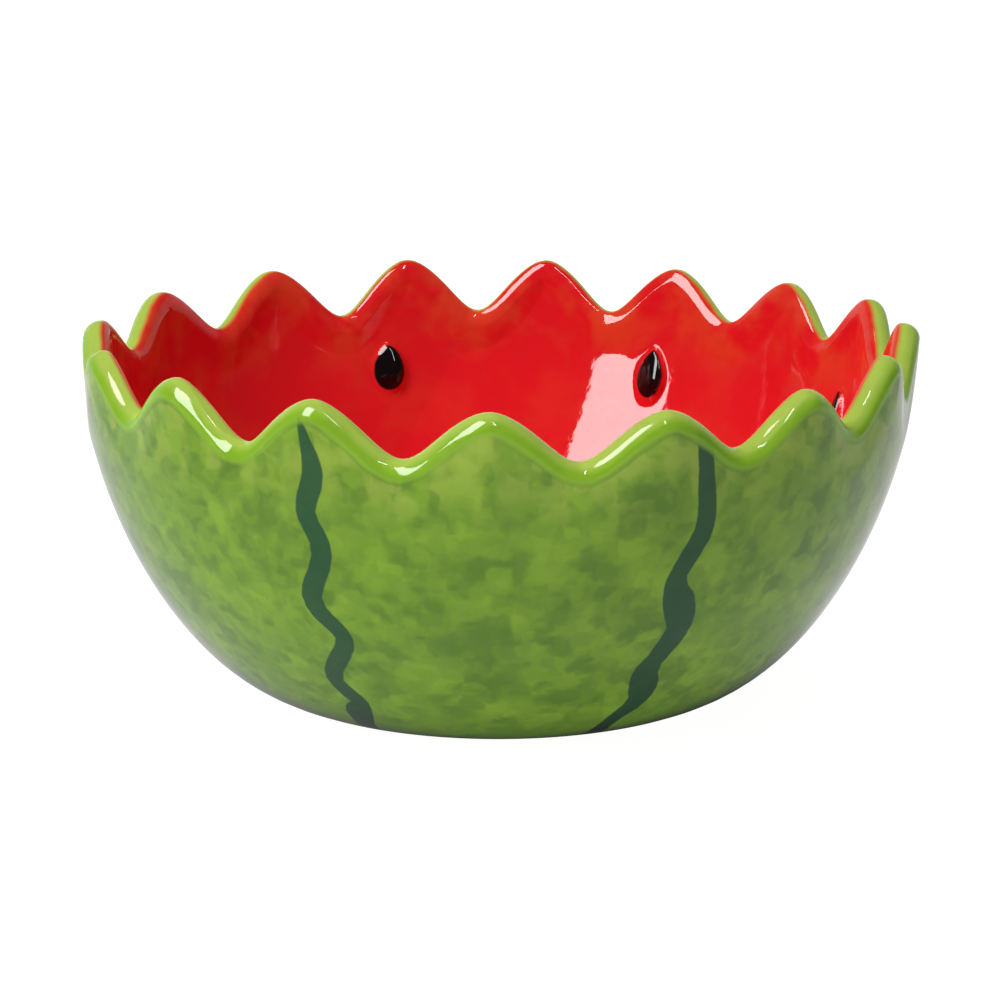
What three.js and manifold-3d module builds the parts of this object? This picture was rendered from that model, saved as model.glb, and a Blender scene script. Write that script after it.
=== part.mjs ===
// A serving bowl of glazed earthenware, shaped and painted like half a watermelon.
// One moulded piece: a deep round wall, a rim cut in soft zigzag teeth, and raised seeds inside.
// Millimetres, +Z up. The origin is the middle of the foot, on the surface that the bowl stands on.
// Azimuth is counted from -Y, the front, towards +X.
import * as THREE from 'three';
import { mergeVertices } from 'three/addons/utils/BufferGeometryUtils.js';
import Module from 'manifold-3d';

// Wall
const RIM_RADIUS = 105.3; // outer radius at the rim, where the bowl is widest
const RIM_HEIGHT = 85.5; // height of the zigzag's middle line
const WALL = 7; // thickness at the rim
const FLOOR = 8.6; // thickness over the edge of the foot
const FLOOR_DISH = 1.2; // how far the middle of the floor lies below its edge
const BELLY_PULL = 45.7; // length of the side's handle at the rim: a longer one makes a fuller belly
const FOOT_PULL = 25.6; // length of its handle at the foot

// Foot
const FOOT_RADIUS = 51.6;
const FOOT_RING = 6; // width of the ring that the bowl stands on
const FOOT_RECESS = 1.5; // depth of the hollow inside that ring

// Zigzag rim
const TEETH = 16;
const TOOTH_DEPTH = 12.4; // from a tip down to a valley
const TOOTH_SHARPNESS = 0.69; // 0 gives a sine wave, 1 a saw with pointed teeth
const TIP_ROUNDING = 0.06; // share by which tips are rounder than valleys
const FIRST_TIP = -3.9; // azimuth of the front tip in degrees, before the drift
const VALLEY_LEAN = 0.17; // how far the wall leans in for each millimetre that the zigzag lowers it
const OUTER_EDGE = 4.2; // radius of the rim's outer edge
const INNER_EDGE = 2.4; // radius of its inner edge
const LIFT_START = 60; // height where the wall starts to follow the zigzag

// The rim is cut by hand: slow waves round the bowl, as [waves, cosine share, sine share].
const AZIMUTH_DRIFT = [[1, 3.5, 0], [2, -0.4, 0.2], [3, 0, 0.5]]; // degrees
const HEIGHT_DRIFT = [[1, 0.1, -0.2], [2, -0.9, -0.3], [3, -0.1, -0.4], [4, 0.2, -0.1]]; // millimetres
const DEPTH_DRIFT = [[1, -1, 0.4], [2, 0.4, 0], [3, -0.1, -1]]; // millimetres

// Seeds, also placed by hand
const SEEDS = 8;
const SEED_LENGTH = 13.8;
const SEED_WIDTH = 7.9;
const SEED_TAPER = 0.5; // 0 gives an oval, 1 a drop with a sharper tip
const SEED_RELIEF = 2.4; // how far a seed stands out of the wall
const SEED_HEIGHT = 62.1; // height of a seed's middle, before its drift
const FIRST_SEED = 21.8; // azimuth of the seed right of the front in degrees, before its drift
const SEED_TURN_DRIFT = [[1, 3.4, -2]]; // degrees
const SEED_HEIGHT_DRIFT = [[2, 0.85, 0.7]]; // millimetres

// Facets
const COLUMNS_PER_TOOTH = 10;
const SIDE_STEPS = 9;
const EDGE_STEPS = 3;
const SEED_FACETS = 12;
const SEED_STEPS = 8;

const COLUMNS = TEETH * COLUMNS_PER_TOOTH;
const TURN = 2 * Math.PI;
const TOP = RIM_HEIGHT + TOOTH_DEPTH / 2;

// Half the width of a teardrop at a share of its length from the tip, before it is scaled
const teardrop = (share) => Math.sqrt((1 - share) * share ** (1 + SEED_TAPER));
const TEARDROP_PEAK = teardrop((1 + SEED_TAPER) / (2 + SEED_TAPER));

const GLAZE = new THREE.MeshStandardMaterial({ color: 0x6f9632, roughness: 0.15, metalness: 0 });

const drift = (angle, waves) => waves.reduce(
  (sum, [n, cosine, sine]) => sum + cosine * Math.cos(n * angle) + sine * Math.sin(n * angle),
  0,
);

const smooth = (low, high, x) => THREE.MathUtils.smoothstep(x, low, high);

// The side of the bowl from the edge of the foot (t = 0) to the rim (t = 1), as radius and height.
const side = new THREE.CubicBezierCurve(
  new THREE.Vector2(FOOT_RADIUS, 0),
  new THREE.Vector2(FOOT_RADIUS + FOOT_PULL, 0),
  new THREE.Vector2(RIM_RADIUS, TOP - BELLY_PULL),
  new THREE.Vector2(RIM_RADIUS, TOP),
);

// The inner face lies one wall's thickness behind the side, a little more towards the foot.
function innerPoint(t) {
  const point = side.getPoint(t);
  const tangent = side.getTangent(t);
  const thickness = THREE.MathUtils.lerp(FLOOR, WALL, t);
  return new THREE.Vector2(point.x - tangent.y * thickness, point.y + tangent.x * thickness);
}

// Where a curve of the wall passes a height, found by halving.
function atHeight(curve, height) {
  let low = 0;
  let high = 1;
  for (let step = 0; step < 40; step += 1) {
    const middle = (low + high) / 2;
    if (curve(middle).y < height) low = middle;
    else high = middle;
  }
  return low;
}

// The zigzag at one column: true azimuth and height over the middle line.
function tooth(column) {
  const nominal = (column / COLUMNS) * TURN + THREE.MathUtils.degToRad(FIRST_TIP);
  const phase = (column / COLUMNS_PER_TOOTH) * TURN;
  const zigzag = Math.asin(TOOTH_SHARPNESS * Math.cos(phase)) / Math.asin(TOOTH_SHARPNESS);
  const wave = zigzag - TIP_ROUNDING * Math.cos(2 * phase);
  return {
    azimuth: nominal + THREE.MathUtils.degToRad(drift(nominal, AZIMUTH_DRIFT)),
    height: ((TOOTH_DEPTH + drift(nominal, DEPTH_DRIFT)) / 2) * wave + drift(nominal, HEIGHT_DRIFT),
  };
}

function slopeAt(column) {
  const before = tooth(column - 0.5);
  const after = tooth(column + 0.5);
  return Math.atan2(after.height - before.height, RIM_RADIUS * (after.azimuth - before.azimuth));
}

// The wall's section under a tip, from the middle of the underside, up the outside, over the rim
// and down the inside to the middle of the floor.
function section() {
  const rows = [
    { r: 0, z: FOOT_RECESS },
    { r: FOOT_RADIUS - FOOT_RING - FOOT_RECESS, z: FOOT_RECESS },
    { r: FOOT_RADIUS - FOOT_RING, z: 0 },
  ];
  const outerEnd = atHeight((t) => side.getPoint(t), TOP - OUTER_EDGE);
  for (let i = 0; i < SIDE_STEPS; i += 1) {
    const point = side.getPoint((outerEnd * i) / SIDE_STEPS);
    rows.push({ r: point.x, z: point.y });
  }
  for (let i = 0; i <= EDGE_STEPS; i += 1) {
    const turn = (i / EDGE_STEPS) * (Math.PI / 2);
    rows.push({
      r: RIM_RADIUS - OUTER_EDGE * (1 - Math.cos(turn)),
      z: TOP - OUTER_EDGE * (1 - Math.sin(turn)),
    });
  }
  for (let i = 0; i <= EDGE_STEPS; i += 1) {
    const turn = (i / EDGE_STEPS) * (Math.PI / 2);
    rows.push({
      r: RIM_RADIUS - WALL + INNER_EDGE * (1 - Math.sin(turn)),
      z: TOP - INNER_EDGE * (1 - Math.cos(turn)),
    });
  }
  const innerEnd = atHeight(innerPoint, TOP - INNER_EDGE);
  for (let i = SIDE_STEPS - 1; i >= 0; i -= 1) {
    const point = innerPoint((innerEnd * i) / SIDE_STEPS);
    rows.push({ r: point.x, z: point.y });
  }
  rows.push({ r: 0, z: FLOOR - FLOOR_DISH });
  return rows;
}

// A closed mesh with its shared vertices merged and the slivers on the axis dropped.
function closed(geometry) {
  geometry.deleteAttribute('normal');
  geometry.deleteAttribute('uv');
  const merged = mergeVertices(geometry, 1e-3);
  const faces = [];
  for (let i = 0; i < merged.index.count; i += 3) {
    const [a, b, c] = [0, 1, 2].map((k) => merged.index.getX(i + k));
    if (a !== b && b !== c && a !== c) faces.push(a, b, c);
  }
  merged.setIndex(faces);
  return merged;
}

// The section turned round the axis, then raised and lowered to follow the zigzag. Close to the
// rim the rows are set square to it, so that its edges are equally round on a tooth's flanks.
function wallGeometry() {
  const rows = section();
  const geometry = new THREE.LatheGeometry(rows.map((row) => new THREE.Vector2(row.r, row.z)), COLUMNS);
  const position = geometry.getAttribute('position');
  for (let column = 0; column <= COLUMNS; column += 1) {
    const { azimuth, height } = tooth(column % COLUMNS);
    const slope = slopeAt(column % COLUMNS);
    rows.forEach((row, i) => {
      const lift = smooth(LIFT_START, TOP - OUTER_EDGE, row.z);
      const rise = (height - TOOTH_DEPTH / 2) * lift;
      const depth = TOP - row.z;
      const square = Math.min(depth, OUTER_EDGE) * lift ** 2;
      const angle = azimuth + (square * Math.sin(slope)) / RIM_RADIUS;
      const radius = row.r + VALLEY_LEAN * rise;
      const z = row.z + rise + square * (1 - Math.cos(slope));
      position.setXYZ(
        column * rows.length + i,
        radius * Math.sin(angle),
        -radius * Math.cos(angle),
        z,
      );
    });
  }
  return closed(geometry);
}

// A flattened teardrop with its point up, half sunk in the inner face.
function seedGeometry(azimuth) {
  const outline = [];
  for (let i = 0; i <= SEED_STEPS; i += 1) {
    const share = (1 + Math.cos((i / SEED_STEPS) * Math.PI)) / 2;
    const half = (SEED_WIDTH / 2) * (teardrop(share) / TEARDROP_PEAK);
    outline.push(new THREE.Vector2(half, SEED_LENGTH * (0.5 - share)));
  }
  const t = atHeight(innerPoint, SEED_HEIGHT + drift(azimuth, SEED_HEIGHT_DRIFT));
  const seat = innerPoint(t);
  const lean = side.getTangent(t);
  const geometry = new THREE.LatheGeometry(outline, SEED_FACETS);
  geometry.scale(1, 1, (2 * SEED_RELIEF) / SEED_WIDTH);
  geometry.rotateX(Math.PI / 2 - Math.atan2(lean.x, lean.y));
  geometry.translate(0, -seat.x, seat.y);
  geometry.rotateZ(azimuth);
  return closed(geometry);
}

// Evenly spaced, then shifted by the drift where the seed comes to lie.
function seedAzimuth(seed) {
  const even = THREE.MathUtils.degToRad(FIRST_SEED) + (seed / SEEDS) * TURN;
  const shift = (azimuth) => THREE.MathUtils.degToRad(drift(azimuth, SEED_TURN_DRIFT));
  return even + shift(even + shift(even));
}

const wasm = await Module();
wasm.setup();

const solidOf = (geometry) => new wasm.Manifold(new wasm.Mesh({
  numProp: 3,
  vertProperties: new Float32Array(geometry.getAttribute('position').array),
  triVerts: new Uint32Array(geometry.index.array),
}));

function geometryOf(solid) {
  const mesh = solid.getMesh();
  const geometry = new THREE.BufferGeometry();
  geometry.setAttribute('position', new THREE.Float32BufferAttribute(mesh.vertProperties, 3));
  geometry.setIndex(Array.from(mesh.triVerts));
  geometry.computeVertexNormals();
  return geometry;
}

function bowl() {
  let solid = solidOf(wallGeometry());
  for (let seed = 0; seed < SEEDS; seed += 1) {
    solid = solid.add(solidOf(seedGeometry(seedAzimuth(seed))));
  }
  const mesh = new THREE.Mesh(geometryOf(solid), GLAZE);
  mesh.name = 'bowl';
  return mesh;
}

const group = new THREE.Group();
group.add(bowl());
export default group;
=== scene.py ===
"""A glazed serving bowl, shaped and painted like half a watermelon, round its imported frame.

It is laid out as an add-on: the sizes and colours are properties, each piece has its operator,
and the panel in the 3D view's sidebar lists them. Everything is in metres, +Z up, with the origin
in the middle of the foot. Azimuth is counted from -Y, the front, towards +X.
"""

from math import cos, pi, radians, sin, tau

import bpy
import numpy as np
from bpy.props import FloatProperty, FloatVectorProperty, IntProperty, PointerProperty
from mathutils import Matrix, Vector


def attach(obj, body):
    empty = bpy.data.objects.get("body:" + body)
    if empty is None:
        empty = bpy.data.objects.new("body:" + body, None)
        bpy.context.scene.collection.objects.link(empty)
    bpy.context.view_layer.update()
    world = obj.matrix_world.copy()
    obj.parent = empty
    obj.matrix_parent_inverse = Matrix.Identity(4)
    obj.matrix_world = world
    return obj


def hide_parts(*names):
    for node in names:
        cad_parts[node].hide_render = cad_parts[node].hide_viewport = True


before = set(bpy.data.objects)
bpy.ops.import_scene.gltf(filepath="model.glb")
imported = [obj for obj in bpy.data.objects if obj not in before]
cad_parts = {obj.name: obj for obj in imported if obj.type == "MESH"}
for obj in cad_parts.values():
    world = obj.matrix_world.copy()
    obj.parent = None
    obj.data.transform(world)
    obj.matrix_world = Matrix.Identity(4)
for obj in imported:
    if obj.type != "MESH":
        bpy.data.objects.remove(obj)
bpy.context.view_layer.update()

bl_info = {
    "name": "Watermelon Bowl",
    "version": (1, 0, 0),
    "blender": (4, 5, 0),
    "location": "View3D > Sidebar > Bowl",
    "description": "Builds a glazed watermelon bowl with a zigzag rim, and a studio round it",
    "category": "Object",
}

NODE = "bowl"
PIECE = "watermelon_bowl"
BOWL_MIDDLE = Vector((0, 0, 0.07))  # what the lights face
MM = 0.001
AIM_DROP = 0.00055  # how far below the zigzag's middle line the camera's aim is
NOISE_SEED = 3.0
FAR = 0.02  # stored distances from the edge of a seed or a stripe end here

# Hand-cut unevenness of the rim: slow waves round the bowl, as (waves, cosine share, sine share).
AZIMUTH_DRIFT = ((1, 3.5, 0.0), (2, -0.4, 0.2), (3, 0.0, 0.5))  # degrees
HEIGHT_DRIFT = ((1, 0.1, -0.2), (2, -0.9, -0.3), (3, -0.1, -0.4), (4, 0.2, -0.1))  # mm
DEPTH_DRIFT = ((1, -1.0, 0.4), (2, 0.4, 0.0), (3, -0.1, -1.0))  # mm
SEED_TURN_DRIFT = ((1, 3.4, -2.0),)  # degrees
SEED_HEIGHT_DRIFT = ((2, 0.85, 0.7),)  # mm

# The two brush stripes at the front, as points of a smooth line from the rim down to the foot:
# (height in mm, azimuth in degrees, width in mm). The other stripes repeat these.
LEFT_STRIPE = (
    (88.0, -25.0, 1.0),
    (76.0, -23.5, 5.0),
    (66.0, -25.0, 5.0),
    (56.0, -23.5, 5.0),
    (43.0, -26.5, 5.0),
    (33.0, -23.0, 4.5),
    (21.5, -27.5, 4.5),
    (14.0, -25.0, 4.5),
    (9.5, -27.0, 6.5),
    (6.5, -28.0, 5.0),
    (1.0, -29.5, 5.5),
)
RIGHT_STRIPE = (
    (84.0, 26.5, 4.0),
    (73.0, 27.0, 4.5),
    (62.0, 27.5, 5.0),
    (55.0, 26.0, 5.0),
    (48.0, 24.5, 5.0),
    (42.0, 26.0, 8.0),
    (36.0, 27.0, 6.5),
    (28.0, 25.0, 5.5),
    (24.0, 23.5, 5.5),
    (20.0, 24.5, 7.5),
    (15.0, 25.0, 5.5),
    (8.0, 22.0, 4.0),
    (2.0, 21.0, 5.0),
)


# ---------------------------------------------------------------------------------------------
# Properties


class BowlShape(bpy.types.PropertyGroup):
    """Sizes of the bowl."""

    rim_radius: FloatProperty(
        name="Rim Radius", description="Outer radius at the rim", default=0.1053, unit="LENGTH"
    )
    rim_height: FloatProperty(
        name="Rim Height", description="Height of the zigzag's middle line", default=0.0855,
        unit="LENGTH",
    )
    wall: FloatProperty(
        name="Wall", description="Thickness of the wall at the rim", default=0.007, unit="LENGTH"
    )
    floor: FloatProperty(
        name="Floor", description="Thickness over the edge of the foot", default=0.0086,
        unit="LENGTH",
    )
    floor_dish: FloatProperty(
        name="Floor Dish", description="How far the middle of the floor lies below its edge",
        default=0.0012, unit="LENGTH",
    )
    belly_pull: FloatProperty(
        name="Belly Pull", description="Length of the side curve's handle at the rim",
        default=0.0457, unit="LENGTH",
    )
    foot_pull: FloatProperty(
        name="Foot Pull", description="Length of the side curve's handle at the foot",
        default=0.0256, unit="LENGTH",
    )
    foot_radius: FloatProperty(
        name="Foot Radius", description="Outer radius of the foot", default=0.0516, unit="LENGTH"
    )
    foot_ring: FloatProperty(
        name="Foot Ring", description="Width of the ring that the bowl stands on",
        default=0.006, unit="LENGTH",
    )
    foot_recess: FloatProperty(
        name="Foot Recess", description="Depth of the hollow inside that ring",
        default=0.0015, unit="LENGTH",
    )
    outer_edge: FloatProperty(
        name="Outer Edge", description="Radius of the rim's outer edge", default=0.0042,
        unit="LENGTH",
    )
    inner_edge: FloatProperty(
        name="Inner Edge", description="Width of the rim's soft inner edge", default=0.0024,
        unit="LENGTH",
    )
    inner_bevel: FloatProperty(
        name="Inner Bevel", description="How far down that soft edge runs inside",
        default=0.0055, unit="LENGTH",
    )
    teeth: IntProperty(name="Teeth", description="Teeth round the rim", default=16, min=3)
    tooth_depth: FloatProperty(
        name="Tooth Depth", description="Height from a valley up to a tip", default=0.0124,
        unit="LENGTH",
    )
    sharpness: FloatProperty(
        name="Sharpness", description="0 gives a sine wave, 1 a saw with pointed teeth",
        default=0.69, min=0.01, max=0.99,
    )
    tip_rounding: FloatProperty(
        name="Tip Rounding", description="Share by which tips are rounder than valleys",
        default=0.06,
    )
    first_tip: FloatProperty(
        name="First Tip", description="Azimuth of the front tip, before its drift",
        default=radians(-3.9), unit="ROTATION",
    )
    valley_lean: FloatProperty(
        name="Valley Lean", default=0.17,
        description="How far the wall leans in, per length that the zigzag lowers it",
    )
    lift_start: FloatProperty(
        name="Lift Start", description="Height where the wall starts to follow the zigzag",
        default=0.060, unit="LENGTH",
    )
    seeds: IntProperty(name="Seeds", description="Raised seeds inside", default=8, min=1)
    seed_length: FloatProperty(
        name="Seed Length", description="Height of a seed", default=0.0138, unit="LENGTH"
    )
    seed_width: FloatProperty(
        name="Seed Width", description="Width of a seed", default=0.0079, unit="LENGTH"
    )
    seed_taper: FloatProperty(
        name="Seed Taper", description="0 gives an oval, 1 a drop with a sharper tip", default=0.5,
        min=0.01, max=2,
    )
    first_seed: FloatProperty(
        name="First Seed", description="Azimuth of the seed right of the front, before its drift",
        default=radians(21.8), unit="ROTATION",
    )
    seed_height: FloatProperty(
        name="Seed Height", description="Height of a seed's middle, before its drift",
        default=0.0621, unit="LENGTH",
    )
    seed_relief: FloatProperty(
        name="Seed Relief", description="How far a seed stands out of the wall",
        default=0.0024, unit="LENGTH",
    )
    seed_skew: FloatProperty(
        name="Seed Skew", description="How much prouder a seed stands on one of its sides",
        default=-0.7, min=-1, max=1,
    )
    seed_skirt: FloatProperty(
        name="Seed Skirt", description="Width of the soft slope round a seed",
        default=0.0035, unit="LENGTH",
    )
    unevenness: FloatProperty(
        name="Unevenness", description="How far the moulded wall strays from its true form",
        default=0.0001, unit="LENGTH",
    )
    columns: IntProperty(name="Columns", description="Facets round the bowl", default=640)


class BowlPaint(bpy.types.PropertyGroup):
    """Colours of the underglaze paint."""

    leaf: FloatVectorProperty(
        name="Leaf Green", description="Lighter sponge colour of the outside",
        default=(0.278, 0.495, 0.027), subtype="COLOR", min=0, max=1,
    )
    moss: FloatVectorProperty(
        name="Moss Green", description="Darker sponge colour of the outside",
        default=(0.134, 0.280, 0.018), subtype="COLOR", min=0, max=1,
    )
    straw: FloatVectorProperty(
        name="Straw", description="Yellow dabs near the rim",
        default=(0.440, 0.600, 0.076), subtype="COLOR", min=0, max=1,
    )
    lime: FloatVectorProperty(
        name="Lime", description="Bright band along the rim",
        default=(0.290, 0.560, 0.028), subtype="COLOR", min=0, max=1,
    )
    stripe: FloatVectorProperty(
        name="Stripe", description="Dark brush stripes", default=(0.006, 0.083, 0.030),
        subtype="COLOR", min=0, max=1,
    )
    flesh: FloatVectorProperty(
        name="Flesh Red", description="Inside of the bowl", default=(0.800, 0.011, 0.018),
        subtype="COLOR", min=0, max=1,
    )
    blush: FloatVectorProperty(
        name="Blush", description="Orange clouds in the red", default=(0.800, 0.062, 0.024),
        subtype="COLOR", min=0, max=1,
    )
    pear: FloatVectorProperty(
        name="Pear", description="Yellow-green on the cut face of the rim",
        default=(0.470, 0.640, 0.100), subtype="COLOR", min=0, max=1,
    )
    seed: FloatVectorProperty(
        name="Seed", description="Seeds", default=(0.004, 0.002, 0.002), subtype="COLOR",
        min=0, max=1,
    )
    clay: FloatVectorProperty(
        name="Clay", description="Unglazed ring under the foot", default=(0.70, 0.66, 0.58),
        subtype="COLOR", min=0, max=1,
    )


class StudioSetup(bpy.types.PropertyGroup):
    """Camera, lights and floor."""

    camera_distance: FloatProperty(
        name="Camera Distance", description="From the middle of the rim to the camera",
        default=0.8071, unit="LENGTH",
    )
    camera_elevation: FloatProperty(
        name="Camera Elevation", description="Angle of the camera above the rim's middle",
        default=radians(11.007), unit="ROTATION",
    )
    camera_drop: FloatProperty(
        name="Camera Drop", description="How much further down the camera looks than that",
        default=radians(2.684), unit="ROTATION",
    )
    camera_aside: FloatProperty(
        name="Camera Aside", description="How far the camera stands to the right",
        default=0.00046, unit="LENGTH",
    )
    lens: FloatProperty(
        name="Lens", description="Focal length in millimetres", default=115.17, unit="CAMERA"
    )
    floor_radius: FloatProperty(
        name="Floor Radius", description="Radius of the pale floor", default=6.0, unit="LENGTH"
    )
    shade_centre: FloatVectorProperty(
        name="Shade Centre", default=(0.010, -0.010), size=2, unit="LENGTH",
        description="Middle of the shade that the glaze mirrors under the bowl",
    )
    shade_radius: FloatProperty(
        name="Shade Radius", description="Radius where that shade has faded out",
        default=0.100, unit="LENGTH",
    )
    window_azimuth: FloatProperty(
        name="Window Azimuth", description="Side that the window light comes from",
        default=radians(-45), unit="ROTATION",
    )
    window_elevation: FloatProperty(
        name="Window Elevation", description="Height angle of the window light",
        default=radians(38), unit="ROTATION",
    )
    window_shift: FloatVectorProperty(
        name="Window Shift", description="How far it hangs to its right and above that line",
        default=(0.045, 0.12), size=2, unit="LENGTH",
    )
    window_size: FloatVectorProperty(
        name="Window Size", description="Width and height of the window light",
        default=(0.63, 1.22), size=2, unit="LENGTH",
    )
    window_radiance: FloatProperty(
        name="Window Radiance", description="Brightness of its mirror image, 1 being white",
        default=15.5,
    )
    window_share: FloatProperty(
        name="Window Share", description="Share of that brightness which lights the paint",
        default=0.50,
    )
    strip_azimuth: FloatProperty(
        name="Strip Azimuth", description="Side that the narrow light comes from",
        default=radians(22), unit="ROTATION",
    )
    strip_elevation: FloatProperty(
        name="Strip Elevation", description="Height angle of the narrow light",
        default=radians(52.5), unit="ROTATION",
    )
    strip_size: FloatVectorProperty(
        name="Strip Size", description="Width and height of the narrow light",
        default=(0.05, 0.45), size=2, unit="LENGTH",
    )
    strip_radiance: FloatProperty(
        name="Strip Radiance", description="Brightness of the narrow light, 1 being white",
        default=34.0,
    )
    light_distance: FloatProperty(
        name="Light Distance", description="From the bowl to these lights", default=1.3,
        unit="LENGTH",
    )
    overhead_radiance: FloatProperty(
        name="Overhead Radiance", description="Brightness of the soft light straight above",
        default=1.7,
    )


# ---------------------------------------------------------------------------------------------
# Formulas in node trees


def connect(tree, value, socket):
    """Feeds a socket from another socket, from a term or with a plain value."""
    if isinstance(value, Term):
        value = value.socket
    if isinstance(value, bpy.types.NodeSocket):
        tree.links.new(value, socket)
    else:
        socket.default_value = value


def add_node(tree, kind, inputs=None, **settings):
    """A node with its settings made and its inputs fed, by their names or numbers."""
    node = tree.nodes.new(kind)
    for name, value in settings.items():
        setattr(node, name, value)
    for key, value in (inputs or {}).items():
        connect(tree, value, node.inputs[key])
    return node


class Term:
    """A number in a node tree, so that a rule can be written as a formula."""

    def __init__(self, tree, socket):
        self.tree = tree
        self.socket = socket

    def math(self, operation, *others):
        node = add_node(
            self.tree, "ShaderNodeMath", dict(enumerate((self, *others))), operation=operation
        )
        return Term(self.tree, node.outputs[0])

    def __add__(self, other):
        return self.math("ADD", other)

    def __sub__(self, other):
        return self.math("SUBTRACT", other)

    def __rsub__(self, other):
        return self.math("MULTIPLY_ADD", -1.0, other)

    def __mul__(self, other):
        return self.math("MULTIPLY", other)

    def __truediv__(self, other):
        return self.math("DIVIDE", other)

    def abs(self):
        return self.math("ABSOLUTE")

    def sin(self):
        return self.math("SINE")

    def cos(self):
        return self.math("COSINE")

    def sqrt(self):
        return self.math("SQRT")

    def at_least(self, other):
        return self.math("MAXIMUM", other)

    def at_most(self, other):
        return self.math("MINIMUM", other)

    def ramp(self, low, high, ends=(0.0, 1.0), curve="SMOOTHSTEP"):
        """0 below low and 1 above high, or the two ends given instead."""
        inputs = {
            "Value": self, "From Min": low, "From Max": high, "To Min": ends[0], "To Max": ends[1]
        }
        node = add_node(self.tree, "ShaderNodeMapRange", inputs, interpolation_type=curve)
        return Term(self.tree, node.outputs[0])


def drift(angle, waves, unit):
    """The sum of slow waves round the bowl at an angle."""
    total = 0.0
    for count, cosine, sine in waves:
        turned = angle * float(count)
        total = turned.cos() * (cosine * unit) + turned.sin() * (sine * unit) + total
    return total


# ---------------------------------------------------------------------------------------------
# The wall's section


# Steps between the points of the section, and how many there are in each turn over the rim
WALL_STEP = 0.0030
FLOOR_STEP = 0.0042
RIM_STEP = 0.0006
SEED_STEP = 0.00045
FOOT_EDGE_STEP = 0.0004
OUTER_TURN_STEPS = 14
INNER_TURN_STEPS = 16


def bezier(points, t):
    """Points and directions of a cubic curve at each t."""
    a, b, c, d = (np.array(point, float) for point in points)
    t = np.asarray(t, float)[:, None]
    place = (1 - t) ** 3 * a + 3 * (1 - t) ** 2 * t * b + 3 * (1 - t) * t**2 * c + t**3 * d
    slope = (1 - t) ** 2 * (b - a) + 2 * (1 - t) * t * (c - b) + t**2 * (d - c)
    return place, slope / np.linalg.norm(slope, axis=1)[:, None]


def rim_top(shape):
    return shape.rim_height + shape.tooth_depth / 2


def side_curve(shape, t):
    """The outside from the edge of the foot (t = 0) to the rim (t = 1), as radius and height."""
    top = rim_top(shape)
    handles = (
        (shape.foot_radius, 0),
        (shape.foot_radius + shape.foot_pull, 0),
        (shape.rim_radius, top - shape.belly_pull),
        (shape.rim_radius, top),
    )
    return bezier(handles, t)


def inner_curve(shape, t):
    """The inner face, one wall's thickness behind the side and a little more at the foot."""
    place, along = side_curve(shape, t)
    thickness = shape.floor + (shape.wall - shape.floor) * np.asarray(t)
    return place + np.column_stack((-along[:, 1], along[:, 0])) * thickness[:, None]


def below(points, height):
    """The start of an upward curve, cut off at a height."""
    keep = points[points[:, 1] < height]
    end = points[len(keep)]
    share = (height - keep[-1][1]) / (end[1] - keep[-1][1])
    return np.vstack((keep, keep[-1] + share * (end - keep[-1])))


def lengths(points):
    """Distance along a line of points, from its start to each of them."""
    steps = np.linalg.norm(np.diff(points, axis=0), axis=1)
    return np.concatenate(([0.0], np.cumsum(steps)))


def spaced(points, fine, coarse, dense_at=0.0, reach=0.03):
    """The same line with new points, a fine step apart at dense_at and a coarse one past reach."""
    along = lengths(points)
    marks = [0.0]
    while marks[-1] < along[-1]:
        away = min(1.0, abs(marks[-1] - dense_at) / reach)
        marks.append(marks[-1] + fine + (coarse - fine) * away)
    marks = np.array(marks) * along[-1] / marks[-1]
    return np.column_stack([np.interp(marks, along, points[:, k]) for k in (0, 1)])


def quarter(centre, radius, start, steps):
    """A quarter turn, anticlockwise from an angle, of one radius or of two, across and up."""
    turns = np.linspace(start, start + pi / 2, steps + 1)
    return np.array(centre) + np.array(radius) * np.column_stack((np.cos(turns), np.sin(turns)))


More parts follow.
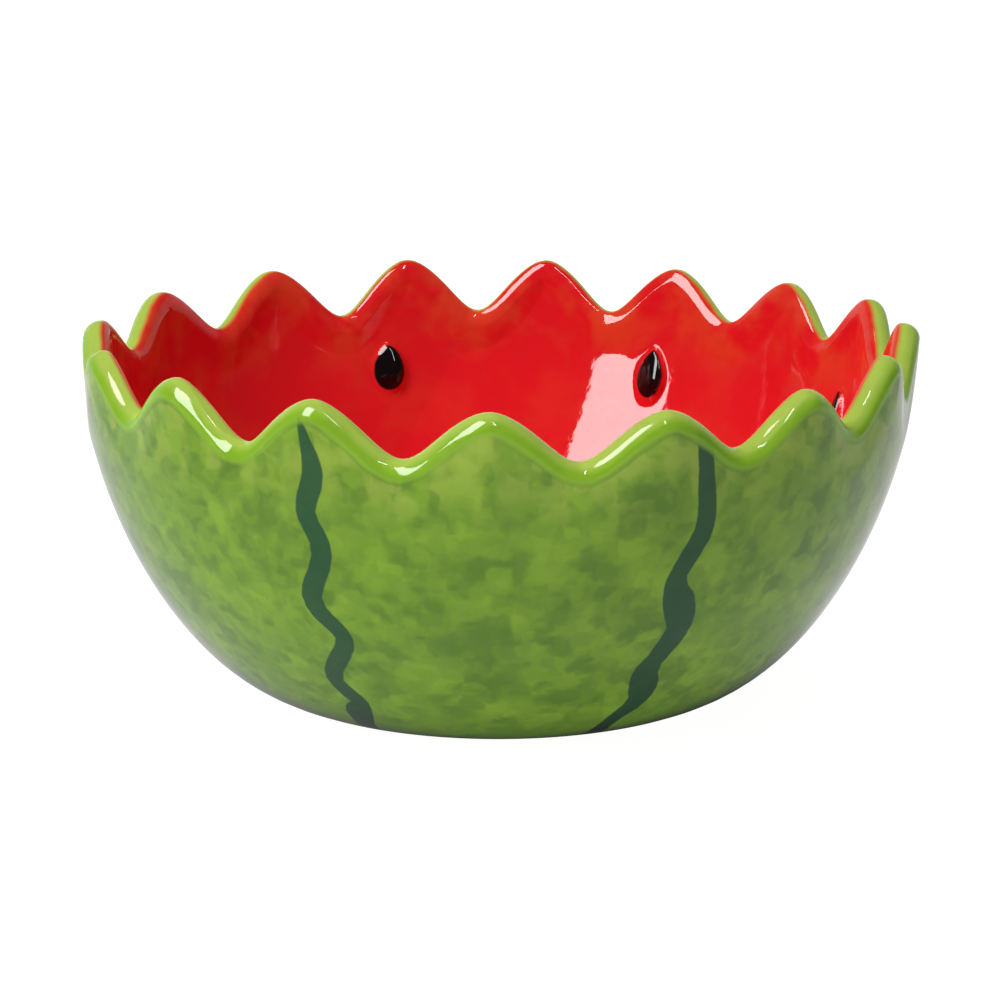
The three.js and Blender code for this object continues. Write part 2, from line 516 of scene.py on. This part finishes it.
def wall_section(shape):
    """From the middle of the underside up the outside, over the rim and down to the middle of
    the floor: the points, the distance of each from the middle of the rim, which is negative
    outside, and the distance of the seeds' middles."""
    top = rim_top(shape)
    fine_t = np.linspace(0, 1, 1200)

    ring_inside = shape.foot_radius - shape.foot_ring
    slope_width = 1.6 * shape.foot_recess  # over which the hollow reaches its depth
    radius = np.linspace(0, ring_inside, 400)
    share = np.clip((ring_inside - radius) / slope_width, 0, 1)
    recess = np.column_stack((radius, shape.foot_recess * share**2 * (3 - 2 * share)))
    underside = spaced(recess, FOOT_EDGE_STEP, FLOOR_STEP, ring_inside)
    ring = np.array([(ring_inside + shape.foot_ring * k / 4, 0.0) for k in (1, 2, 3)])

    outside = below(side_curve(shape, fine_t)[0], top - shape.outer_edge)
    outside = spaced(outside, RIM_STEP, WALL_STEP, lengths(outside)[-1])
    outer_turn = quarter(
        (shape.rim_radius - shape.outer_edge, top - shape.outer_edge), shape.outer_edge, 0,
        OUTER_TURN_STEPS,
    )

    inside = below(inner_curve(shape, fine_t), top - shape.inner_bevel)[::-1]
    crest = shape.rim_radius - shape.wall + shape.inner_edge
    inner_turn = quarter(
        (crest, top - shape.inner_bevel), (crest - inside[0][0], shape.inner_bevel), pi / 2,
        INNER_TURN_STEPS,
    )
    seed_down = np.interp(-shape.seed_height, -inside[:, 1], lengths(inside))
    inside = spaced(inside, SEED_STEP, WALL_STEP, seed_down, reach=0.045)
    floor_radius, floor_edge = inside[-1]
    radius = np.linspace(floor_radius, 0, 300)
    dish = shape.floor_dish * (1 + np.cos(pi * radius / floor_radius)) / 2
    floor = spaced(np.column_stack((radius, floor_edge - dish)), WALL_STEP, FLOOR_STEP)

    points = np.vstack(
        (underside, ring, outside, outer_turn[1:], inner_turn, inside[1:], floor[1:])
    )
    along = lengths(points)
    before_rim = len(underside) + len(ring) + len(outside) + len(outer_turn) - 2
    middle = (along[before_rim] + along[before_rim + 1]) / 2
    after_turn = along[before_rim + len(inner_turn)]
    return points, along - middle, after_turn + seed_down - middle


# ---------------------------------------------------------------------------------------------
# The bowl's node tree


BOWL_INPUTS = (
    # name, socket type, property of BowlShape
    ("Teeth", "NodeSocketInt", "teeth"),
    ("Tooth Depth", "NodeSocketFloat", "tooth_depth"),
    ("Sharpness", "NodeSocketFloat", "sharpness"),
    ("Tip Rounding", "NodeSocketFloat", "tip_rounding"),
    ("First Tip", "NodeSocketFloat", "first_tip"),
    ("Rim Radius", "NodeSocketFloat", "rim_radius"),
    ("Outer Edge", "NodeSocketFloat", "outer_edge"),
    ("Valley Lean", "NodeSocketFloat", "valley_lean"),
    ("Lift Start", "NodeSocketFloat", "lift_start"),
    ("Seeds", "NodeSocketInt", "seeds"),
    ("First Seed", "NodeSocketFloat", "first_seed"),
    ("Seed Length", "NodeSocketFloat", "seed_length"),
    ("Seed Width", "NodeSocketFloat", "seed_width"),
    ("Seed Taper", "NodeSocketFloat", "seed_taper"),
    ("Seed Relief", "NodeSocketFloat", "seed_relief"),
    ("Seed Skew", "NodeSocketFloat", "seed_skew"),
    ("Seed Skirt", "NodeSocketFloat", "seed_skirt"),
    ("Unevenness", "NodeSocketFloat", "unevenness"),
    ("Columns", "NodeSocketInt", "columns"),
)


COLUMN_CROWDING = 0.62  # 0 spaces the columns evenly, and towards 1 they gather at the seeds


def tooth_line(nominal, given):
    """The zigzag at a nominal angle: true azimuth, and height over its middle line."""
    phase = (nominal - given["First Tip"]) * given["Teeth"]
    saw = (phase.cos() * given["Sharpness"]).math("ARCSINE")
    saw = saw / given["Sharpness"].math("ARCSINE")
    wave = saw - (phase * 2.0).cos() * given["Tip Rounding"]
    azimuth = nominal + drift(nominal, AZIMUTH_DRIFT, radians(1))
    depth = given["Tooth Depth"] + drift(nominal, DEPTH_DRIFT, MM)
    return azimuth, depth * wave * 0.5 + drift(nominal, HEIGHT_DRIFT, MM)


def component(tree, vector, axis):
    """The X, Y or Z of a vector."""
    return Term(tree, add_node(tree, "ShaderNodeSeparateXYZ", {0: vector}).outputs[axis])


def position(tree):
    return add_node(tree, "GeometryNodeInputPosition").outputs[0]


def through(tree, geometry, kind, inputs=None, **settings):
    """What a node makes of some geometry."""
    inputs = {"Geometry": geometry, **(inputs or {})}
    return add_node(tree, kind, inputs, **settings).outputs[0]


def stored(tree, name):
    """A number that each point carries."""
    node = add_node(tree, "GeometryNodeInputNamedAttribute", {"Name": name}, data_type="FLOAT")
    return Term(tree, node.outputs[0])


def seed_rule(given, azimuth, radius, over_rim):
    """How far a point lies outside the nearest seed's outline, and how far it is raised."""
    spacing = given["Seeds"] * (1.0 / tau)
    evened = azimuth - drift(azimuth, SEED_TURN_DRIFT, radians(1)) - given["First Seed"]
    toward = (evened * spacing + 0.5).math("FRACT") - 0.5
    across = toward / spacing * radius
    up = given["Seed Distance"] - drift(azimuth, SEED_HEIGHT_DRIFT, MM) - over_rim
    half = given["Seed Length"] * 0.5
    lower = up / half * -1.0  # -1 at the tip, 1 at the round end

    # The square of the outline's half width at this height, and how fast it changes along it
    taper_share = given["Seed Taper"] + 1.0
    widest = taper_share / (taper_share + 1.0)
    peak = widest.math("POWER", taper_share) * (1.0 - widest) * 4.0
    fullness = given["Seed Width"] * given["Seed Width"] * 0.25 / peak
    taper = ((lower + 1.0).abs() * 0.5).math("POWER", given["Seed Taper"])
    bulge = (1.0 - lower * lower) * taper * fullness
    steep = ((1.0 - lower) * given["Seed Taper"] - lower * 2.0) * taper * fullness / half
    excess = across * across - bulge
    slant = (across * across * 4.0 + steep * steep + 1e-9).sqrt()
    seed_edge = excess / slant

    # A rounded swell with a soft foot, which is prouder and steeper on one side
    softness = given["Seed Skirt"] * given["Seed Width"] * 0.3
    swell = ((excess * excess + softness * softness).sqrt() - excess) * 0.5
    swell = swell.sqrt() * given["Seed Relief"] * 2.0 / given["Seed Width"]
    lopsided = (across / given["Seed Width"] * 2.0).at_least(-1.0).at_most(1.0)
    skirt = given["Seed Skirt"] * (lopsided * 0.4 + 0.6) * lower.ramp(-1.1, 0.0, (0.3, 1.0))
    foot = seed_edge.ramp(0.0, skirt, (1.0, 0.0))
    return seed_edge, swell * foot * (lopsided * given["Seed Skew"] + 1.0)


def raised(tree, geometry, given):
    """The seeds stand out along the wall's normal, and the whole wall strays a little."""
    place = position(tree)
    waves = add_node(
        tree,
        "ShaderNodeTexNoise",
        {"Vector": place, "W": given["Noise Seed"], "Scale": 26.0, "Detail": 1.0},
        noise_dimensions="4D",
    )
    stray = (Term(tree, waves.outputs[0]) - 0.5) * given["Unevenness"] * 2.0
    stray = stray * component(tree, place, "Z").ramp(0.002, 0.014)
    normal = add_node(tree, "GeometryNodeInputNormal").outputs[0]
    outward = add_node(
        tree,
        "ShaderNodeVectorMath",
        {0: normal, "Scale": stored(tree, "relief") + stray},
        operation="SCALE",
    )
    return through(tree, geometry, "GeometryNodeSetPosition", {"Offset": outward.outputs[0]})


def bowl_tree():
    """Turns the section round the axis, makes it follow the zigzag and raises the seeds."""
    tree = bpy.data.node_groups.new("Zigzag Bowl", "GeometryNodeTree")
    sockets = (
        ("Section", "NodeSocketGeometry"),
        *((name, kind) for name, kind, _ in BOWL_INPUTS),
        ("Rim Top", "NodeSocketFloat"),
        ("Seed Distance", "NodeSocketFloat"),
        ("Rows", "NodeSocketInt"),
        ("Noise Seed", "NodeSocketFloat"),
        ("Glaze", "NodeSocketMaterial"),
    )
    for name, kind in sockets:
        tree.interface.new_socket(name, in_out="INPUT", socket_type=kind)
    tree.interface.new_socket("Bowl", in_out="OUTPUT", socket_type="NodeSocketGeometry")
    entry = add_node(tree, "NodeGroupInput")
    given = {socket.name: Term(tree, socket) for socket in entry.outputs if socket.name}

    # A sheet whose X counts columns from the middle and whose Y counts rows
    sheet = add_node(
        tree,
        "GeometryNodeMeshGrid",
        {
            "Size X": given["Columns"],
            "Size Y": given["Rows"] - 1.0,
            "Vertices X": given["Columns"] + 1.0,
            "Vertices Y": given["Rows"],
        },
    )
    column = component(tree, position(tree), "X")
    row = (component(tree, position(tree), "Y") + (given["Rows"] - 1.0) * 0.5).math("ROUND")

    def of_section(kind, value):
        node = add_node(
            tree,
            "GeometryNodeSampleIndex",
            {"Geometry": given["Section"], "Value": value, "Index": row},
            data_type=kind,
            domain="POINT",
        )
        return node.outputs[0]

    section_place = of_section("FLOAT_VECTOR", position(tree))
    radius = component(tree, section_place, "X")
    height = component(tree, section_place, "Z")
    over_rim = Term(tree, of_section("FLOAT", stored(tree, "over_rim")))

    # Columns stand closer together at the seeds
    period = column / given["Columns"] * given["Seeds"]
    crowding = (period * tau).sin() * (COLUMN_CROWDING / tau)
    nominal = given["First Tip"] + (period + crowding) / given["Seeds"] * tau

    azimuth, level = tooth_line(nominal, given)
    nudge = radians(0.2)
    left, level_left = tooth_line(nominal - nudge, given)
    right, level_right = tooth_line(nominal + nudge, given)
    slope = (level_right - level_left).math("ARCTAN2", (right - left) * given["Rim Radius"])

    # Rows follow the zigzag near the rim, and stand square to it close to its edges
    lift = height.ramp(given["Lift Start"], given["Rim Top"] - given["Outer Edge"])
    square = (given["Rim Top"] - height).at_most(given["Outer Edge"]) * lift * lift
    turned = azimuth + square * slope.sin() / given["Rim Radius"]
    rise = (level - given["Tooth Depth"] * 0.5) * lift
    reach = radius + rise * given["Valley Lean"]
    lifted = height + rise + square * (1.0 - slope.cos())
    place = add_node(
        tree,
        "ShaderNodeCombineXYZ",
        {"X": reach * turned.sin(), "Y": reach * turned.cos() * -1.0, "Z": lifted},
    )

    seed_edge, relief = seed_rule(given, azimuth, radius, over_rim)
    geometry = sheet.outputs["Mesh"]
    for name, value in (
        ("over_rim", over_rim), ("seed_edge", seed_edge.at_most(FAR)), ("relief", relief)
    ):
        geometry = through(
            tree, geometry, "GeometryNodeStoreNamedAttribute", {"Name": name, "Value": value},
            data_type="FLOAT", domain="POINT",
        )
    geometry = through(tree, geometry, "GeometryNodeSetPosition", {"Position": place.outputs[0]})
    geometry = through(tree, geometry, "GeometryNodeMergeByDistance", {"Distance": 1e-5})
    geometry = raised(tree, geometry, given)
    geometry = through(tree, geometry, "GeometryNodeSetShadeSmooth")
    geometry = through(tree, geometry, "GeometryNodeRealizeInstances")
    geometry = through(tree, geometry, "GeometryNodeSetMaterial", {"Material": given["Glaze"]})
    connect(tree, geometry, add_node(tree, "NodeGroupOutput").inputs["Bowl"])
    return tree


def line_object(name, points, along):
    """A chain of vertices in the XZ plane that carries its distance over the rim."""
    mesh = bpy.data.meshes.new(name)
    places = [(x, 0.0, z) for x, z in points]
    mesh.from_pydata(places, [(k, k + 1) for k in range(len(places) - 1)], [])
    mesh.attributes.new("over_rim", "FLOAT", "POINT").data.foreach_set("value", along)
    chain = bpy.data.objects.new(name, mesh)
    bpy.context.scene.collection.objects.link(chain)
    return chain


def grown(carrier, tree, values):
    """What a tree makes of an object, as a plain mesh."""
    modifier = carrier.modifiers.new(tree.name, "NODES")
    modifier.node_group = tree
    for item in tree.interface.items_tree:
        if item.item_type == "SOCKET" and item.name in values:
            modifier[item.identifier] = values[item.name]
    evaluated = carrier.evaluated_get(bpy.context.evaluated_depsgraph_get())
    mesh = bpy.data.meshes.new_from_object(evaluated)
    carrier.modifiers.remove(modifier)
    return mesh


# ---------------------------------------------------------------------------------------------
# Brush stripes


def stripe_path(knots, steps=20):
    """A smooth line through a stripe's points, as azimuths, heights and half widths."""
    knots = np.array(knots, float)
    knots = np.vstack((2 * knots[0] - knots[1], knots, 2 * knots[-1] - knots[-2]))
    path = []
    for before, start, end, after in zip(knots, knots[1:], knots[2:], knots[3:]):
        for t in np.linspace(0, 1, steps, endpoint=False):
            path.append(
                0.5 * (
                    2 * start
                    + (end - before) * t
                    + (2 * before - 5 * start + 4 * end - after) * t**2
                    + (3 * start - before - 3 * end + after) * t**3
                )
            )
    path = np.array(path)
    return radians(1) * path[:, 1], path[:, 0] * MM, path[:, 2] * MM / 2


def all_stripes():
    """The two front stripes, and four more round the sides and the back."""
    stripes = [LEFT_STRIPE, RIGHT_STRIPE]
    for knots, turn, mirrored in (
        (LEFT_STRIPE, 113.0, False),
        (RIGHT_STRIPE, 126.0, True),
        (RIGHT_STRIPE, -115.0, False),
        (LEFT_STRIPE, -176.0, True),
    ):
        middle = knots[0][1]
        sign = -1 if mirrored else 1
        stripes.append(
            [(height, turn + sign * (azimuth - middle), width) for height, azimuth, width in knots]
        )
    return stripes


def paint_stripes(mesh):
    """Stores how far each point of the outside lies beyond the nearest stripe's edge."""
    places = np.zeros(len(mesh.vertices) * 3)
    mesh.vertices.foreach_get("co", places)
    x, y, z = places.reshape(-1, 3).T
    azimuth = np.arctan2(x, -y)
    reach = np.hypot(x, y)
    edge = np.full(len(x), FAR)
    for knots in all_stripes():
        turns, heights, halves = stripe_path(knots)
        for turn, height, half in zip(turns, heights, halves):
            aside = (azimuth - turn + pi) % tau - pi
            edge = np.minimum(edge, np.hypot(aside * reach, z - height) - half)
    over_rim = np.zeros(len(x))
    mesh.attributes["over_rim"].data.foreach_get("value", over_rim)
    edge[over_rim > 0] = FAR
    mesh.attributes.new("stripe_edge", "FLOAT", "POINT").data.foreach_set("value", edge)


# ---------------------------------------------------------------------------------------------
# Glaze


# Where each paint of the rim begins and where it covers, as distances from the middle of the rim,
# negative outside
LIME_EDGE = (-0.0078, -0.0068)
PEAR_EDGE = (-0.0050, -0.0024)
RED_EDGE = (-0.0004, 0.0014)
BRUSH_EDGE = (-0.0002, 0.0003)  # over which the paint of a stripe or a seed ends

# Sizes of the sponge's dabs
BROAD_DAB = 0.0058
STRAW_DAB = 0.0048
FINE_DAB = 0.0033

GLAZE_ROUGHNESS = 0.035
CLAY_ROUGHNESS = 0.635
GLAZE_IOR = 1.43


def blank(made):
    """The empty node tree of a new material or world."""
    made.use_nodes = True
    made.node_tree.nodes.clear()
    return made.node_tree


def show(tree, shader, kind="ShaderNodeOutputMaterial"):
    """Ends a tree with its shader."""
    connect(tree, shader.outputs[0], add_node(tree, kind).inputs["Surface"])


def read_attribute(tree, name):
    node = add_node(tree, "ShaderNodeAttribute", attribute_name=name, attribute_type="GEOMETRY")
    return Term(tree, node.outputs["Fac"])


def mixed(tree, share, under, over):
    """One colour over another, by a share from 0 to 1."""
    node = add_node(tree, "ShaderNodeMix", data_type="RGBA")
    connect(tree, share, node.inputs["Factor"])
    for socket, value in ((node.inputs[6], under), (node.inputs[7], over)):
        if isinstance(value, bpy.types.NodeSocket):
            connect(tree, value, socket)
        else:
            socket.default_value = (*value, 1.0)
    return node.outputs[2]


def noise(tree, place, scale, detail, roughness=0.5, distortion=0.0):
    node = add_node(
        tree,
        "ShaderNodeTexNoise",
        {
            "Vector": place, "Scale": scale, "Detail": detail, "Roughness": roughness,
            "Distortion": distortion,
        },
    )
    return Term(tree, node.outputs[0])


def dabs(tree, place, size, seed):
    """A random tone for each soft-edged, squarish dab of a brush."""
    moved = add_node(tree, "ShaderNodeVectorMath", {0: place, 1: (seed, seed, seed)})
    cells = add_node(
        tree,
        "ShaderNodeTexVoronoi",
        {"Vector": moved.outputs[0], "Scale": 1 / size, "Smoothness": 0.4},
        feature="SMOOTH_F1",
        distance="CHEBYCHEV",
    )
    parts = add_node(tree, "ShaderNodeSeparateColor", {0: cells.outputs["Color"]})
    return Term(tree, parts.outputs[0])


def warped(tree, place, scale, amount):
    """Coordinates pushed about by noise."""
    waves = add_node(tree, "ShaderNodeTexNoise", {"Vector": place, "Scale": scale, "Detail": 1.0})
    to_middle = (-0.5, -0.5, -0.5)
    centred = add_node(tree, "ShaderNodeVectorMath", {0: waves.outputs["Color"], 1: to_middle})
    push = add_node(
        tree, "ShaderNodeVectorMath", {0: centred.outputs[0], "Scale": amount}, operation="SCALE"
    )
    return add_node(tree, "ShaderNodeVectorMath", {0: place, 1: push.outputs[0]}).outputs[0]


def sponged_greens(tree, place, over_rim, paint):
    """Overlapping dabs of two greens, yellower near the rim, with painted shade that darkens them
    at the foot.
    """
    ground = warped(tree, place, 240.0, 0.0022)
    tone = dabs(tree, ground, BROAD_DAB, 0.0) * 0.36 + dabs(tree, ground, FINE_DAB, 1.3) * 0.24
    tone = tone + noise(tree, place, 60.0, 3.0) * 0.60
    greens = mixed(tree, tone.ramp(0.36, 0.86, curve="LINEAR"), paint.moss, paint.leaf)
    near_rim = over_rim.ramp(-0.034, -0.006)
    spots = dabs(tree, ground, STRAW_DAB, 2.9) * 0.3 + noise(tree, place, 150.0, 1.0) * 0.7
    spots = spots.ramp(0.36, 0.66) * (near_rim * 0.60 + 0.06)
    greens = mixed(tree, spots, greens, paint.straw)
    # Painted shade: moss green over the lowest part of the outside stands in for the shadow where
    # the bowl meets the table
    foot = component(tree, place, "Z").ramp(0.003, 0.016, (0.75, 0.0))
    return mixed(tree, foot, greens, paint.moss)


def brushed_rim(tree, place, over_rim, edge_shift, body, paint):
    """Lime down to a broken darker line outside, and pear green on the cut face."""
    line = over_rim + edge_shift * 0.5
    body = mixed(tree, line.ramp(*LIME_EDGE) * 0.85, body, paint.lime)
    darker = line.ramp(-0.0074, -0.0062, (0.45, 0.0)) * line.ramp(-0.0082, -0.0074)
    broken = noise(tree, place, 45.0, 1.0).ramp(0.42, 0.60)
    body = mixed(tree, darker * broken, body, paint.moss)
    cut = (over_rim + edge_shift * 0.6).ramp(*PEAR_EDGE)
    cut = cut * noise(tree, place, 150.0, 2.0).ramp(0.30, 0.60, (0.80, 1.0))
    return mixed(tree, cut, body, paint.pear)


def clouded_red(tree, place, over_rim, paint):
    """Red with orange clouds, which grow fainter down the wall."""
    clouds = noise(tree, place, 60.0, 3.0, 0.6, 0.3).ramp(0.40, 0.64)
    warmth = over_rim.ramp(0.004, 0.034, (0.95, 0.25))
    return mixed(tree, clouds * warmth, paint.flesh, paint.blush)


def glaze_material(paint):
    """Sponged and brushed underglaze colours beneath one glossy clear glaze."""
    material = bpy.data.materials.new("painted_glaze")
    tree = blank(material)
    place = add_node(tree, "ShaderNodeTexCoord").outputs["Object"]
    over_rim = read_attribute(tree, "over_rim")
    seed_edge = read_attribute(tree, "seed_edge")
    stripe_edge = read_attribute(tree, "stripe_edge")
    wander = noise(tree, place, 260.0, 2.0) - 0.5
    edge_shift = (noise(tree, place, 160.0, 2.0) - 0.5) * 0.003

    # The stripes are translucent, and the rim is painted over them
    body = sponged_greens(tree, place, over_rim, paint)
    stroke = (stripe_edge + wander * 0.0006).ramp(*BRUSH_EDGE, (1.0, 0.0))
    body = mixed(tree, stroke * 0.93, body, paint.stripe)
    body = brushed_rim(tree, place, over_rim, edge_shift, body, paint)

    inside = (over_rim + edge_shift * 0.3).ramp(*RED_EDGE)
    colour = mixed(tree, inside, body, clouded_red(tree, place, over_rim, paint))
    seed = (seed_edge + wander * 0.0003).ramp(*BRUSH_EDGE, (1.0, 0.0))
    colour = mixed(tree, seed, colour, paint.seed)

    # The ring under the foot is bare clay
    bare = component(tree, place, "Z").ramp(0.0002, 0.0004, (1.0, 0.0))
    colour = mixed(tree, bare, colour, paint.clay)

    ripple = noise(tree, place, 340.0, 2.0) * 0.3 + noise(tree, place, 60.0, 1.0) * 0.15
    bump = add_node(
        tree, "ShaderNodeBump", {"Height": ripple, "Strength": 0.10, "Distance": MM}
    )
    shader = add_node(
        tree,
        "ShaderNodeBsdfPrincipled",
        {
            "Base Color": colour,
            "Roughness": bare * (CLAY_ROUGHNESS - GLAZE_ROUGHNESS) + GLAZE_ROUGHNESS,
            "Normal": bump.outputs[0],
            "IOR": GLAZE_IOR,
        },
    )
    show(tree, shader)
    return material


# ---------------------------------------------------------------------------------------------
# The bowl


class BOWL_OT_bowl(bpy.types.Operator):
    """Build the bowl, with its zigzag rim, its seeds and its painted glaze"""

    bl_idname = "bowl.bowl"
    bl_label = "Bowl"

    def execute(self, context):
        shape = context.scene.bowl_shape
        points, along, seed_distance = wall_section(shape)
        chain = line_object("section", points, along)
        values = {name: getattr(shape, prop) for name, _, prop in BOWL_INPUTS}
        values.update({
            "Rim Top": rim_top(shape),
            "Seed Distance": float(seed_distance),
            "Rows": len(points),
            "Noise Seed": NOISE_SEED,
            "Glaze": glaze_material(context.scene.bowl_paint),
        })
        mesh = grown(chain, bowl_tree(), values)
        bpy.data.objects.remove(chain)
        if not mesh.polygons:
            raise RuntimeError("the bowl's tree made no faces")
        paint_stripes(mesh)
        mesh.name = PIECE
        bowl = bpy.data.objects.new(PIECE, mesh)
        context.scene.collection.objects.link(bowl)
        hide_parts(NODE)
        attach(bowl, "root")
        return {"FINISHED"}


# ---------------------------------------------------------------------------------------------
# The stage


OVERHEAD_SIZE = (1.2, 1.2)
OVERHEAD_ELEVATION = radians(89)

# The world's brightness: what is always there, and what the table and the wall add to it
DARK_ABOVE, BRIGHT_BELOW = 0.06, 0.34
TABLE_BEYOND, TABLE_BEFORE = 0.38, 0.4
WALL_BEHIND = 0.45
SHADE_DEPTH = (0.05, 0.73)  # brightness in the shade under the bowl and of the table round it
SHADE_GAP = 0.0005  # how far the sheet with that shade lies under the floor

FLOOR_TRACE = (0.05, 0.12)  # distances over which the trace of the bowl's shadow fades
FLOOR_GLOW = (0.97, 1.0)  # brightness of the paper in that trace and beyond it


def direction(azimuth, elevation):
    """A unit vector towards an azimuth, from the front over the right, and an elevation."""
    flat = cos(elevation)
    return Vector((flat * sin(azimuth), -flat * cos(azimuth), sin(elevation)))


def panel_light(name, azimuth, elevation, distance, size, radiance, shift=(0.0, 0.0)):
    """A rectangular light that faces the bowl, of a brightness that doesn't change with its size.
    The shift moves it to its right and up, without turning it."""
    towards = direction(azimuth, elevation)
    right = Vector((cos(azimuth), sin(azimuth), 0))
    up = towards.cross(right)
    width, height = size
    data = bpy.data.lights.new(name, "AREA")
    data.shape = "RECTANGLE"
    data.size = width
    data.size_y = height
    data.energy = radiance * pi * width * height
    lamp = bpy.data.objects.new(name, data)
    lamp.location = BOWL_MIDDLE + towards * distance - right * shift[0] + up * shift[1]
    lamp.rotation_euler = Matrix((right, up, towards)).transposed().to_euler()
    bpy.context.scene.collection.objects.link(lamp)
    return lamp


def surroundings():
    """A bright table below and a bright wall behind, and hardly any light from above, so that the
    glaze stays clear."""
    world = bpy.data.worlds.new("studio")
    tree = blank(world)
    towards = add_node(tree, "ShaderNodeTexCoord").outputs["Generated"]
    rise = component(tree, towards, "Z")
    back = component(tree, towards, "Y")
    beyond = back.ramp(-0.80, -0.45)
    far_table = rise.ramp(-0.10, 0.02, (1.0, 0.0)) * beyond * TABLE_BEYOND
    near_table = rise.ramp(-0.06, 0.0, (1.0, 0.0)) * (1.0 - beyond) * TABLE_BEFORE
    wall = back.ramp(0.2, 0.5) * rise.ramp(0.30, 0.50, (1.0, 0.0)) * WALL_BEHIND
    everywhere = rise.ramp(-0.08, 0.06, (BRIGHT_BELOW, DARK_ABOVE))
    strength = (far_table + near_table).at_least(wall) + everywhere
    background = add_node(tree, "ShaderNodeBackground", {"Strength": strength})
    background.inputs["Color"].default_value = (1, 1, 1, 1)
    show(tree, background, "ShaderNodeOutputWorld")
    return world


def glow(tree, start, end, ends):
    """Light of a flat sheet that changes with the distance from its middle."""
    place = add_node(tree, "ShaderNodeTexCoord").outputs["Object"]
    reach = add_node(tree, "ShaderNodeVectorMath", {0: place}, operation="LENGTH")
    strength = Term(tree, reach.outputs["Value"]).ramp(start, end, ends)
    return add_node(tree, "ShaderNodeEmission", {"Strength": strength})


def floor_paper():
    """White paper, lit from below like a light table, with a trace of the bowl's shadow."""
    material = bpy.data.materials.new("floor_paper")
    tree = blank(material)
    light = glow(tree, *FLOOR_TRACE, FLOOR_GLOW)
    paper = add_node(tree, "ShaderNodeBsdfDiffuse")
    paper.inputs["Color"].default_value = (0.2, 0.2, 0.2, 1)
    show(tree, add_node(tree, "ShaderNodeAddShader", {0: paper.outputs[0], 1: light.outputs[0]}))
    return material


def floor_shade(radius):
    """The shade between bowl and table, as light that grows outwards up to the table's own."""
    material = bpy.data.materials.new("floor_shade")
    tree = blank(material)
    show(tree, glow(tree, radius * 0.45, radius, SHADE_DEPTH))
    return material


def stage_disc(name, radius, material, corners=96):
    """A flat round sheet of the stage, which doesn't light the paint."""
    turns = [tau * k / corners for k in range(corners)]
    mesh = bpy.data.meshes.new(name)
    mesh.from_pydata(
        [(radius * cos(turn), radius * sin(turn), 0) for turn in turns], [], [tuple(range(corners))]
    )
    mesh.materials.append(material)
    disc = bpy.data.objects.new(name, mesh)
    bpy.context.scene.collection.objects.link(disc)
    disc.visible_diffuse = False
    return disc


def add_lights(studio):
    """A window and a narrow light that the glaze mirrors, and two softer ones for the paint."""
    distance = studio.light_distance
    window = (studio.window_azimuth, studio.window_elevation, distance, studio.window_size)
    mirrored = panel_light("window", *window, studio.window_radiance, studio.window_shift)
    mirrored.visible_diffuse = False
    softer = studio.window_radiance * studio.window_share
    window_glow = panel_light("window_glow", *window, softer, studio.window_shift)
    window_glow.visible_glossy = False
    strip = panel_light(
        "strip", studio.strip_azimuth, studio.strip_elevation, distance, studio.strip_size,
        studio.strip_radiance,
    )
    strip.visible_diffuse = False
    overhead = panel_light(
        "overhead", 0.0, OVERHEAD_ELEVATION, distance, OVERHEAD_SIZE, studio.overhead_radiance
    )
    overhead.visible_glossy = False


def add_camera(studio, rim_height):
    """Stands in front of the bowl and looks down at its rim a little."""
    rise = studio.camera_elevation
    data = bpy.data.cameras.new("camera")
    data.lens = studio.lens
    camera = bpy.data.objects.new("camera", data)
    middle = Vector((0, 0, rim_height - AIM_DROP))
    offset = Vector((0, -cos(rise), sin(rise))) * studio.camera_distance
    camera.location = middle + offset + Vector((studio.camera_aside, 0, 0))
    camera.rotation_euler = (pi / 2 - rise - studio.camera_drop, 0, 0)
    bpy.context.scene.collection.objects.link(camera)
    bpy.context.scene.camera = camera


class BOWL_OT_stage(bpy.types.Operator):
    """Add the pale floor, the soft lights and the camera"""

    bl_idname = "bowl.stage"
    bl_label = "Stage"

    def execute(self, context):
        scene = context.scene
        studio = scene.bowl_studio
        floor = stage_disc("floor", studio.floor_radius, floor_paper())
        floor.visible_glossy = False
        shade = stage_disc("shade", studio.shade_radius, floor_shade(studio.shade_radius))
        shade.location = (*studio.shade_centre, -SHADE_GAP)
        shade.visible_camera = False
        scene.world = surroundings()
        add_lights(studio)
        add_camera(studio, scene.bowl_shape.rim_height)
        scene.view_settings.view_transform = "Standard"
        return {"FINISHED"}


# ---------------------------------------------------------------------------------------------
# Panel and registration


class BOWL_PT_sidebar(bpy.types.Panel):
    """Lists the steps, and the sizes, colours and lights that they use"""

    bl_idname = "BOWL_PT_sidebar"
    bl_label = "Watermelon Bowl"
    bl_space_type = "VIEW_3D"
    bl_region_type = "UI"
    bl_category = "Bowl"

    def draw(self, context):
        layout = self.layout
        for step in STEPS:
            layout.operator(step.bl_idname)
        for group in GROUPS:
            settings = getattr(context.scene, group)
            box = layout.box()
            for name in settings.__annotations__:
                box.prop(settings, name)


GROUPS = {"bowl_shape": BowlShape, "bowl_paint": BowlPaint, "bowl_studio": StudioSetup}
STEPS = (BOWL_OT_bowl, BOWL_OT_stage)
CLASSES = (*GROUPS.values(), *STEPS, BOWL_PT_sidebar)


def register():
    for made in CLASSES:
        bpy.utils.register_class(made)
    for name, group in GROUPS.items():
        setattr(bpy.types.Scene, name, PointerProperty(type=group))


def unregister():
    for name in GROUPS:
        delattr(bpy.types.Scene, name)
    for made in reversed(CLASSES):
        bpy.utils.unregister_class(made)


def main():
    register()
    bpy.ops.bowl.bowl()
    bpy.ops.bowl.stage()


if __name__ == "__main__":
    main()
